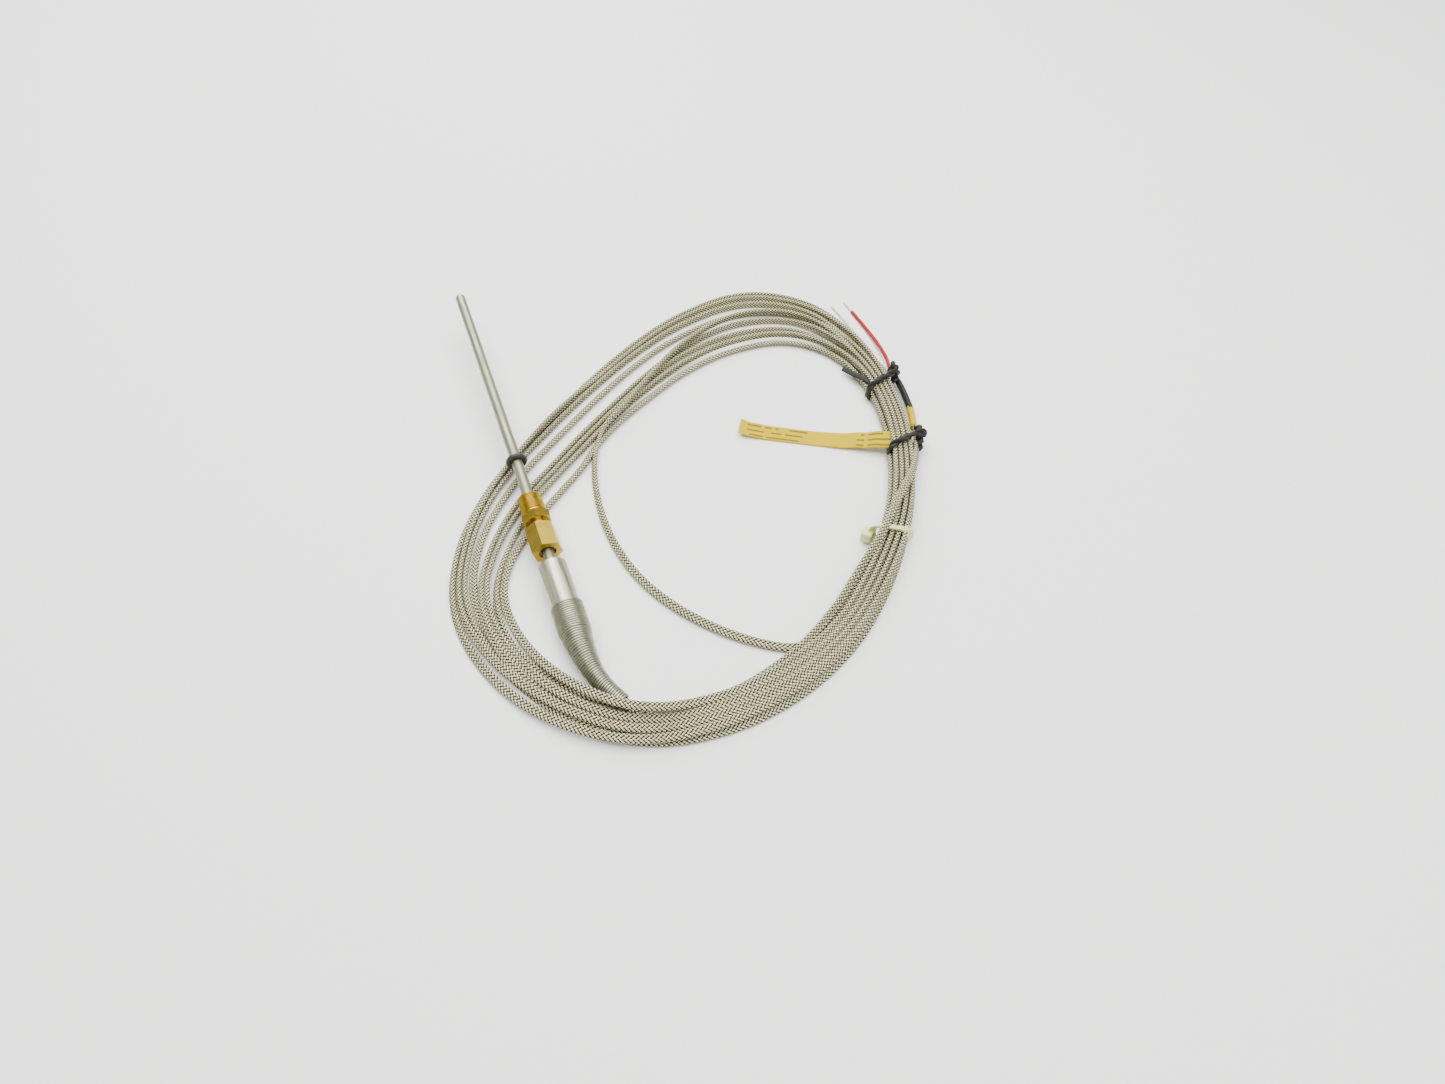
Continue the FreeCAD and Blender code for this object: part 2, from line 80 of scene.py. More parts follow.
class Wiring:
    """A node tree being wired, with short calls for the few kinds of node that the finishes use."""

    def __init__(self, tree: NodeTree) -> None:
        """Start on a tree."""
        self.tree = tree

    def node(self, kind: str, **settings: object) -> Node:
        """Add a node and set its properties.

        Args:
            kind: the node's type name.
            settings: properties to set on it.

        Returns:
            The new node.
        """
        made = self.tree.nodes.new(kind)
        for key, value in settings.items():
            setattr(made, key, value)
        return made

    def feed(self, socket: NodeSocket, value: object) -> None:
        """Link an output to a socket, or set the socket's own value."""
        if isinstance(value, NodeSocket):
            self.tree.links.new(value, socket)
        elif value is not None:
            socket.default_value = value

    def math(self, operation: str, *values: object, clamp: bool = False) -> NodeSocket:
        """A Math node.

        Args:
            operation: the node's operation.
            values: its inputs, as sockets or numbers.
            clamp: whether the result is held between 0 and 1.

        Returns:
            Its output.
        """
        made = self.node("ShaderNodeMath", operation=operation, use_clamp=clamp)
        for socket, value in zip(made.inputs, values):
            self.feed(socket, value)
        return made.outputs[0]

    def ramp(
        self, value: object, low: float, high: float, start: float = 0.0, end: float = 1.0
    ) -> NodeSocket:
        """A value eased from start to end as the input goes from low to high.

        Args:
            value: the input.
            low: the input at which the easing starts.
            high: the input at which it ends.
            start: the output below low.
            end: the output above high.

        Returns:
            The eased value.
        """
        made = self.node("ShaderNodeMapRange", interpolation_type="SMOOTHSTEP")
        for socket, given in zip(made.inputs, (value, low, high, start, end)):
            self.feed(socket, given)
        return made.outputs[0]

    def mix(self, share: object, first: object, second: object, blend: str = "MIX") -> NodeSocket:
        """A colour mix.

        Args:
            share: how much of the second colour.
            first: the first colour.
            second: the second colour.
            blend: the blend type.

        Returns:
            The mixed colour.
        """
        made = self.node("ShaderNodeMix", data_type="RGBA", blend_type=blend)
        self.feed(made.inputs[0], share)
        self.feed(made.inputs[6], first)
        self.feed(made.inputs[7], second)
        return made.outputs[2]

    def noise(
        self, vector: object, scale: float, detail: float = 3.0, roughness: float = 0.5
    ) -> NodeSocket:
        """A noise value over a vector.

        Args:
            vector: the coordinates.
            scale: how fine it is.
            detail: its octaves.
            roughness: how strong the fine octaves are.

        Returns:
            The noise, about 0 to 1.
        """
        made = self.node("ShaderNodeTexNoise")
        self.feed(made.inputs["Vector"], vector)
        self.feed(made.inputs["Scale"], scale)
        self.feed(made.inputs["Detail"], detail)
        self.feed(made.inputs["Roughness"], roughness)
        return made.outputs["Fac"]

    def place(self) -> NodeSocket:
        """The object's own coordinates."""
        return self.node("ShaderNodeTexCoord").outputs["Object"]

    def near(self, value: object, middle: float, inner: float, outer: float) -> NodeSocket:
        """1 within a distance of a middle value, and 0 beyond a slightly larger one."""
        away = self.math("ABSOLUTE", self.math("SUBTRACT", value, middle))
        return self.ramp(away, inner, outer, 1.0, 0.0)

    def stretched(
        self, vector: object, scale: Point, turn: Point = (0.0, 0.0, 0.0)
    ) -> NodeSocket:
        """Coordinates turned, then stretched.

        Args:
            vector: the coordinates.
            scale: the factor on each axis.
            turn: the rotation, in radians.

        Returns:
            The new coordinates.
        """
        made = self.node("ShaderNodeMapping")
        self.feed(made.inputs["Vector"], vector)
        made.inputs["Rotation"].default_value = turn
        made.inputs["Scale"].default_value = scale
        return made.outputs["Vector"]


def colour(rgb: Sequence[float]) -> tuple[float, float, float, float]:
    """A colour with full alpha."""
    return (rgb[0], rgb[1], rgb[2], 1.0)


class Effects:
    """The shared node groups, each built once."""

    built: dict[str, NodeTree] = {}

    @classmethod
    def group(
        cls, name: str, inputs: Sequence[tuple[str, str, float]], outputs: Sequence[tuple[str, str]]
    ) -> tuple:
        """Start a group with its sockets.

        Args:
            name: the group's name.
            inputs: each input's name, socket type and default.
            outputs: each output's name and socket type.

        Returns:
            The wiring, the inputs' sockets by name and the outputs' sockets by name.
        """
        tree = bpy.data.node_groups.new(name, "ShaderNodeTree")
        for label, kind, default in inputs:
            made = tree.interface.new_socket(label, in_out="INPUT", socket_type=kind)
            if kind == "NodeSocketFloat":
                made.default_value = default
        for label, kind in outputs:
            tree.interface.new_socket(label, in_out="OUTPUT", socket_type=kind)
        wiring = Wiring(tree)
        given = wiring.node("NodeGroupInput")
        made = wiring.node("NodeGroupOutput")
        cls.built[name] = tree
        return wiring, given.outputs, made.inputs

    @classmethod
    def braid(cls) -> NodeTree:
        """Yarns laid two over and two under, both ways round a sleeve, on a UV map in metres along it.

        Returns:
            The group, with outputs Height, Yarn (0 in the gaps between yarns, which take painted shade) and
            Shade (a random tone for each yarn).
        """
        if "braid" in cls.built:
            return cls.built["braid"]
        wiring, given, out = cls.group(
            "braid",
            [
                ("UV", "NodeSocketVector", 0.0), ("Carriers", "NodeSocketFloat", 8.0),
                ("Pitch", "NodeSocketFloat", 0.0016),
            ],
            [("Height", "NodeSocketFloat"), ("Yarn", "NodeSocketFloat"), ("Shade", "NodeSocketFloat")],
        )
        parts = wiring.node("ShaderNodeSeparateXYZ")
        wiring.feed(parts.inputs[0], given["UV"])
        around = wiring.math("MULTIPLY", parts.outputs[0], given["Carriers"])
        along = wiring.math("DIVIDE", parts.outputs[1], given["Pitch"])
        right = wiring.math("ADD", around, along)
        left = wiring.math("SUBTRACT", around, along)
        crown_right = wiring.math("SINE", wiring.math("MULTIPLY", wiring.math("FRACT", right), math.pi))
        crown_left = wiring.math("SINE", wiring.math("MULTIPLY", wiring.math("FRACT", left), math.pi))
        index = wiring.math("ADD", wiring.math("FLOOR", right), wiring.math("FLOOR", left))
        beat = wiring.math("FLOORED_MODULO", index, 4.0)
        over = wiring.math("LESS_THAN", beat, 1.5)
        under = wiring.math("SUBTRACT", 1.0, over)
        height = wiring.math(
            "ADD", wiring.math("MULTIPLY", crown_right, over), wiring.math("MULTIPLY", crown_left, under)
        )
        cross = wiring.math(
            "ADD", wiring.math("MULTIPLY", crown_left, over), wiring.math("MULTIPLY", crown_right, under)
        )
        # The height, lowered where the crossing yarn's edge lies over it; where it is low, Yarn falls to 0
        # and the braid takes painted shade.
        dipped = wiring.math(
            "MULTIPLY", height, wiring.math("ADD", 0.5, wiring.math("MULTIPLY", cross, 0.5))
        )
        wiring.feed(out["Height"], dipped)
        wiring.feed(out["Yarn"], wiring.ramp(dipped, 0.42, 0.80))
        seed = wiring.node("ShaderNodeTexWhiteNoise", noise_dimensions="2D")
        cells = wiring.node("ShaderNodeCombineXYZ")
        wiring.feed(cells.inputs[0], wiring.math("FLOOR", right))
        wiring.feed(cells.inputs[1], wiring.math("FLOOR", left))
        wiring.feed(seed.inputs["Vector"], cells.outputs[0])
        wiring.feed(out["Shade"], seed.outputs["Value"])
        return cls.built["braid"]

    @classmethod
    def grain(cls) -> NodeTree:
        """Drawn or turned lines along one axis with soft blotches under them.

        Returns:
            The group, with outputs Lines and Blotch.
        """
        if "grain" in cls.built:
            return cls.built["grain"]
        wiring, given, out = cls.group(
            "grain",
            [("Vector", "NodeSocketVector", 0.0), ("Fineness", "NodeSocketFloat", 1.0)],
            [("Lines", "NodeSocketFloat"), ("Blotch", "NodeSocketFloat")],
        )
        fine = wiring.node("ShaderNodeTexNoise")
        wiring.feed(fine.inputs["Vector"], given["Vector"])
        wiring.feed(fine.inputs["Scale"], given["Fineness"])
        wiring.feed(fine.inputs["Detail"], 4.0)
        wiring.feed(out["Lines"], fine.outputs["Fac"])
        blotch = wiring.noise(wiring.place(), 160.0, 4.0, 0.6)
        wiring.feed(out["Blotch"], blotch)
        return cls.built["grain"]


# ---------------------------------------------------------------- finishes


@dataclass(frozen=True)
class Finish:
    """A material: its name, colour and surface, with a method that wires its detail."""

    name: str
    base: tuple[float, float, float]
    roughness: float = 0.5
    metallic: float = 0.0
    specular: float = 0.5

    def start(self) -> tuple[Material, Wiring, Node]:
        """Make the material with its shader's constants.

        Returns:
            The material, its wiring and its Principled BSDF.
        """
        material = bpy.data.materials.new(self.name)
        material.use_nodes = True
        wiring = Wiring(material.node_tree)
        shader = material.node_tree.nodes["Principled BSDF"]
        shader.inputs["Base Color"].default_value = colour(self.base)
        shader.inputs["Roughness"].default_value = self.roughness
        shader.inputs["Metallic"].default_value = self.metallic
        shader.inputs["Specular IOR Level"].default_value = self.specular
        return material, wiring, shader

    def bump(
        self, wiring: Wiring, shader: Node, height: object, distance: float, strength: float = 1.0
    ) -> None:
        """Feed a height to the shader's normal.

        Args:
            wiring: the material's wiring.
            shader: its Principled BSDF.
            height: the height's socket.
            distance: how tall a height of 1 is, in metres.
            strength: how strongly it shows.
        """
        bump = wiring.node("ShaderNodeBump")
        bump.inputs["Strength"].default_value = strength
        bump.inputs["Distance"].default_value = distance
        wiring.feed(bump.inputs["Height"], height)
        wiring.feed(shader.inputs["Normal"], bump.outputs["Normal"])

    def material(self) -> Material:
        """The finished material."""
        raise NotImplementedError


@dataclass(frozen=True)
class MetalFinish(Finish):
    """Drawn or turned metal: lines along or round the probe, stains and a little tarnish."""

    metallic: float = 1.0
    stain: tuple[float, float, float] = (0.4, 0.38, 0.3)
    stain_share: float = 0.3
    stretch: Point = (900.0, 30.0, 900.0)
    line_depth: float = 0.00001
    roughness_swing: float = 0.12

    def material(self) -> Material:
        """The metal, with its lines and stains.

        Returns:
            The material.
        """
        material, wiring, shader = self.start()
        place = wiring.place()
        grain = wiring.node("ShaderNodeGroup", node_tree=Effects.grain())
        wiring.feed(grain.inputs["Vector"], wiring.stretched(place, self.stretch, (-PROBE_TILT, 0.0, 0.0)))
        lines, blotch = grain.outputs["Lines"], grain.outputs["Blotch"]
        share = wiring.ramp(blotch, 0.45, 0.75, 0.0, self.stain_share)
        tinted = wiring.mix(share, colour(self.base), colour(self.stain))
        shaded = wiring.mix(wiring.ramp(lines, 0.3, 0.7, 0.22, 0.0), tinted, colour(self.stain), "MULTIPLY")
        wiring.feed(shader.inputs["Base Color"], shaded)
        low, high = self.roughness - self.roughness_swing, self.roughness + self.roughness_swing
        wiring.feed(shader.inputs["Roughness"], wiring.ramp(lines, 0.3, 0.7, high, low))
        self.bump(wiring, shader, lines, self.line_depth, 0.6)
        return material


@dataclass(frozen=True)
class BraidFinish(Finish):
    """Varnished glass yarn braided round the cores, with painted shade in the gaps between the yarns."""

    # Near-black colour: painted shade in the gaps between yarns, and the tint of the random blotches.
    gap_shade_and_blotch: tuple[float, float, float] = (0.022, 0.019, 0.010)
    carriers: float = 6.0
    pitch: float = 1.75 * MM
    depth: float = 0.35 * MM

    def material(self) -> Material:
        """The braid, on the piece's own UV map.

        Returns:
            The material.
        """
        material, wiring, shader = self.start()
        uv = wiring.node("ShaderNodeUVMap", uv_map="braid").outputs["UV"]
        place = wiring.place()
        braid = wiring.node("ShaderNodeGroup", node_tree=Effects.braid())
        wiring.feed(braid.inputs["UV"], uv)
        braid.inputs["Carriers"].default_value = self.carriers
        braid.inputs["Pitch"].default_value = self.pitch
        blotch = wiring.noise(place, 55.0, 4.0, 0.6)
        dull = tuple(0.72 * c for c in self.base)
        yarn = wiring.mix(
            wiring.math("MULTIPLY", braid.outputs["Shade"], 0.6), colour(self.base), colour(dull)
        )
        # Random blotches on the yarn, soft-lit towards the same dark colour.
        yarn = wiring.mix(wiring.ramp(blotch, 0.4, 0.75, 0.0, 0.35), yarn, colour(self.gap_shade_and_blotch), "SOFT_LIGHT")
        # Where the Yarn mask is low, between the yarns and where one dips under the crossing one, the colour
        # is painted shade.
        wiring.feed(shader.inputs["Base Color"], wiring.mix(braid.outputs["Yarn"], colour(self.gap_shade_and_blotch), yarn))
        wiring.feed(
            shader.inputs["Roughness"], wiring.ramp(braid.outputs["Height"], 0.2, 1.0, 0.75, self.roughness)
        )
        self.bump(wiring, shader, braid.outputs["Height"], self.depth)
        return material


@dataclass(frozen=True)
class PlasticFinish(Finish):
    """Moulded or extruded plastic, rubber, ceramic or cement: fine pits and a slight unevenness of colour."""

    pits: float = 0.00002
    fineness: float = 1800.0
    tint: tuple[float, float, float] = (0.5, 0.5, 0.5)
    tint_share: float = 0.2
    subsurface: float = 0.0

    def material(self) -> Material:
        """The plastic, with its pits and unevenness.

        Returns:
            The material.
        """
        material, wiring, shader = self.start()
        place = wiring.place()
        fine = wiring.noise(place, self.fineness, 3.0, 0.6)
        coarse = wiring.noise(place, self.fineness / 12.0, 3.0, 0.55)
        share = wiring.ramp(coarse, 0.35, 0.75, 0.0, self.tint_share)
        wiring.feed(shader.inputs["Base Color"], wiring.mix(share, colour(self.base), colour(self.tint)))
        wiring.feed(
            shader.inputs["Roughness"],
            wiring.ramp(fine, 0.25, 0.75, self.roughness - 0.08, self.roughness + 0.08),
        )
        shader.inputs["Subsurface Weight"].default_value = self.subsurface
        shader.inputs["Subsurface Radius"].default_value = (0.002, 0.002, 0.001)
        self.bump(wiring, shader, fine, self.pits, 0.7)
        return material


@dataclass(frozen=True)
class LabelFinish(Finish):
    """Yellow film, with rows of plain bars where print would be."""

    ink: tuple[float, float, float] = (0.05, 0.045, 0.02)
    rows: float = 3.0

    def material(self) -> Material:
        """The film, with its bars on the piece's own UV map.

        Returns:
            The material.
        """
        material, wiring, shader = self.start()
        uv = wiring.node("ShaderNodeUVMap", uv_map="film").outputs["UV"]
        parts = wiring.node("ShaderNodeSeparateXYZ")
        wiring.feed(parts.inputs[0], uv)
        row = wiring.math("MULTIPLY", parts.outputs[1], self.rows)
        band = wiring.near(wiring.math("FRACT", row), 0.5, 0.16, 0.2)
        cells = wiring.node("ShaderNodeCombineXYZ")
        wiring.feed(cells.inputs[0], wiring.math("FLOOR", wiring.math("MULTIPLY", parts.outputs[0], 44.0)))
        wiring.feed(cells.inputs[1], wiring.math("FLOOR", row))
        chance = wiring.node("ShaderNodeTexWhiteNoise", noise_dimensions="2D")
        wiring.feed(chance.inputs["Vector"], cells.outputs[0])
        dash = wiring.math("GREATER_THAN", chance.outputs["Value"], 0.28)
        left_block = wiring.near(parts.outputs[0], 0.24, 0.19, 0.195)
        right_block = wiring.near(parts.outputs[0], 0.86, 0.11, 0.115)
        printed = wiring.math("MAXIMUM", left_block, right_block)
        ink = wiring.math(
            "MULTIPLY", wiring.math("MULTIPLY", band, dash), wiring.math("MULTIPLY", printed, 0.7)
        )
        wiring.feed(shader.inputs["Base Color"], wiring.mix(ink, colour(self.base), colour(self.ink)))
        place = wiring.place()
        self.bump(wiring, shader, wiring.noise(place, 300.0, 3.0), 0.00003, 0.5)
        return material


SHEATH = MetalFinish("sheath_steel", (0.36, 0.355, 0.25), 0.48, stain=(0.22, 0.21, 0.14))
SLEEVE = MetalFinish("sleeve_steel", (0.54, 0.53, 0.39), 0.42, stain=(0.40, 0.38, 0.27))
SPRING = MetalFinish(
    "spring_wire", (0.36, 0.36, 0.26), 0.45, stain_share=0.1, stretch=(400.0, 400.0, 400.0)
)
BRASS = MetalFinish(
    "brass", (0.50, 0.35, 0.04), 0.34, stain=(0.30, 0.19, 0.03), stain_share=0.3, stretch=(
        60.0, 900.0, 60.0
    ),
    line_depth=0.000006, roughness_swing=0.08,
)
CRIMP = MetalFinish("crimp_metal", (0.62, 0.62, 0.62), 0.3, stretch=(500.0, 500.0, 500.0))
WIRE = MetalFinish("conductor_metal", (0.62, 0.58, 0.50), 0.3, stretch=(500.0, 500.0, 500.0))
BRAID = BraidFinish("cable_braid", (0.80, 0.75, 0.46), 0.5, specular=0.3)
RED_LEAD = PlasticFinish(
    "red_insulation", (0.30, 0.002, 0.007), 0.5, specular=0.2, tint=(0.36, 0.008, 0.014), tint_share=0.5
)
WHITE_LEAD = PlasticFinish(
    "white_insulation", (0.80, 0.79, 0.70), 0.45, tint=(0.66, 0.64, 0.54), tint_share=0.5
)
SHRINK = PlasticFinish(
    "shrink_tube", (0.010, 0.010, 0.008), 0.55, specular=0.25, tint=(0.020, 0.019, 0.016), tint_share=0.6
)
RUBBER = PlasticFinish("ring_rubber", (0.018, 0.017, 0.014), 0.55, tint=(0.05, 0.05, 0.04), tint_share=0.6)
TIE = PlasticFinish(
    "twist_tie", (0.009, 0.009, 0.006), 0.55, specular=0.25, tint=(0.026, 0.025, 0.016), tint_share=0.6
)
NYLON = PlasticFinish(
    "nylon_tie", (0.70, 0.72, 0.32), 0.38, tint=(0.6, 0.62, 0.28), tint_share=0.4, subsurface=0.3
)
LABEL = LabelFinish("label", (0.50, 0.36, 0.0), 0.7, specular=0.05)
WRAP = PlasticFinish(
    "label_wrap_film", (0.50, 0.36, 0.0), 0.6, specular=0.05, tint=(0.45, 0.31, 0.0), tint_share=0.3
)
CERAMIC = PlasticFinish("ceramic", (0.80, 0.77, 0.68), 0.6, tint=(0.6, 0.55, 0.45))
CEMENT = PlasticFinish("potting_cement", (0.70, 0.66, 0.56), 0.8, pits=0.00005, tint=(0.5, 0.46, 0.38))
PACKING = PlasticFinish("packing", (0.86, 0.86, 0.82), 0.4, tint=(0.75, 0.75, 0.7))


# ---------------------------------------------------------------- making pieces


def placed(mesh: Mesh, name: str, finish: Material) -> Object:
    """Link a mesh as a piece, dress it and put it on the root body.

    Args:
        mesh: the finished mesh, in the object's frame.
        name: the piece's name.
        finish: its material.

    Returns:
        The piece.
    """
    mesh.name = name
    mesh.materials.clear()
    mesh.materials.append(finish)
    mesh.polygons.foreach_set("use_smooth", [True] * len(mesh.polygons))
    piece = bpy.data.objects.new(name, mesh)
    bpy.context.scene.collection.objects.link(piece)
    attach(piece, "root")
    LOG.info("%s: %d faces", name, len(mesh.polygons))
    return piece


def tidy_mesh(mesh: Mesh, merge: float = 1e-7) -> Mesh:
    """Merge doubles and turn all faces outwards.

    Args:
        mesh: the mesh to tidy, in place.
        merge: the distance below which points are one.

    Returns:
        The same mesh.
    """
    bm = bmesh.new()
    bm.from_mesh(mesh)
    bmesh.ops.remove_doubles(bm, verts=bm.verts, dist=merge)
    bmesh.ops.recalc_face_normals(bm, faces=bm.faces)
    bm.to_mesh(mesh)
    bm.free()
    return mesh


def oval(width: float, height: float, waist: float = 0.0, count: int = 16) -> list[tuple[float, float]]:
    """An oval section whose flat sides dip between two cores.

    Args:
        width: its size across.
        height: its size the other way.
        waist: the share of the height that the middle dips by.
        count: how many points it has.

    Returns:
        The section's points.
    """
    points = []
    for index in range(count):
        turn = 2.0 * math.pi * index / count
        across = math.cos(turn)
        dip = 1.0 - waist * math.exp(-((across / 0.3) ** 2))
        points.append((width / 2 * across, height / 2 * math.sin(turn) * dip))
    return points


@dataclass
class Sweep:
    """A section carried along a smooth line through control points, turned by a tilt at each."""

    name: str
    points: Sequence[Point]
    section: Sequence[tuple[float, float]]
    tilts: Optional[Sequence[float]] = None
    sizes: Optional[Sequence[float]] = None
    steps: int = 10
    closed: bool = False
    twist: str = "Z_UP"
    uv: str = "braid"
    line: list[Point] = field(default_factory=list)

    def spline(self) -> Object:
        """The control points as a smooth spline.

        Returns:
            A curve object with no bevel.
        """
        curve = bpy.data.curves.new(self.name + "_line", "CURVE")
        curve.dimensions = "3D"
        curve.twist_mode = self.twist
        curve.resolution_u = self.steps
        spline = curve.splines.new("NURBS")
        spline.points.add(len(self.points) - 1)
        for index, point in enumerate(self.points):
            spline.points[index].co = (*point, 1.0)
            spline.points[index].tilt = self.tilts[index] if self.tilts else 0.0
            spline.points[index].radius = self.sizes[index] if self.sizes else 1.0
        spline.order_u = 3
        spline.use_endpoint_u = not self.closed
        spline.use_cyclic_u = self.closed
        made = bpy.data.objects.new(self.name + "_line", curve)
        bpy.context.scene.collection.objects.link(made)
        return made

    def profile(self) -> Object:
        """The section as a closed curve.

        Returns:
            The curve object that bevels the line.
        """
        curve = bpy.data.curves.new(self.name + "_section", "CURVE")
        curve.dimensions = "2D"
        spline = curve.splines.new("POLY")
        spline.points.add(len(self.section) - 1)
        for index, (x, y) in enumerate(self.section):
            spline.points[index].co = (x, y, 0.0, 1.0)
        spline.use_cyclic_u = True
        made = bpy.data.objects.new(self.name + "_section", curve)
        bpy.context.scene.collection.objects.link(made)
        return made

    def mesh(self) -> Mesh:
        """Sweep the section along the line, and keep the line's own points in self.line.

        Returns:
            The closed mesh, with its UV map: round the section, and metres along the line.
        """
        line, section = self.spline(), self.profile()
        bare = bpy.data.meshes.new_from_object(line.evaluated_get(bpy.context.evaluated_depsgraph_get()))
        self.line = [tuple(v.co) for v in bare.vertices]
        line.data.bevel_mode = "OBJECT"
        line.data.bevel_object = section
        line.data.use_fill_caps = True
        mesh = bpy.data.meshes.new_from_object(line.evaluated_get(bpy.context.evaluated_depsgraph_get()))
        self.unwrap(mesh)
        for made in (line, section):
            bpy.data.objects.remove(made)
        return tidy_mesh(mesh)

    def unwrap(self, mesh: Mesh) -> None:
        """Lay the UV map: the share of the way round, and the distance along in metres.

        Args:
            mesh: the swept mesh, ring after ring.
        """
        count = len(self.section)
        around = [0.0]
        for here, there in zip(self.section, list(self.section[1:]) + [self.section[0]]):
            around.append(around[-1] + math.dist(here, there))
        along = [0.0]
        for here, there in zip(self.line, self.line[1:]):
            along.append(along[-1] + math.dist(here, there))
        rings = len(self.line)
        mesh.uv_layers.new(name=self.uv)
        for other in [u for u in mesh.uv_layers if u.name != self.uv]:
            mesh.uv_layers.remove(other)
        layer = mesh.uv_layers[self.uv]
        for face in mesh.polygons:
            places = [(v // count, v % count) for v in face.vertices]
            wraps = {p[1] for p in places} >= {0, count - 1} and len(places) == 4
            closes = self.closed and {p[0] for p in places} >= {0, rings - 1}
            for corner, (ring, slot) in zip(face.loop_indices, places):
                slot = count if wraps and slot == 0 else slot
                length = along[min(ring, rings - 1)]
                if closes and ring == 0:
                    length = along[-1]
                layer.data[corner].uv = (around[slot] / around[-1], length)


# ---------------------------------------------------------------- the lead


# The layer that each lane lies in where the bundle is two layers deep.
STACKED = (0, 1, 0, 1, 1, 0, 1, 0, 0)


@dataclass(frozen=True)
class Station:
    """Where the nine turns lie as they pass one angle of the coil: lanes 1 to 9, in millimetres."""

    angle: float
    edge: float
    lift: float
    radii: tuple[float, ...]
    levels: tuple[float, ...]


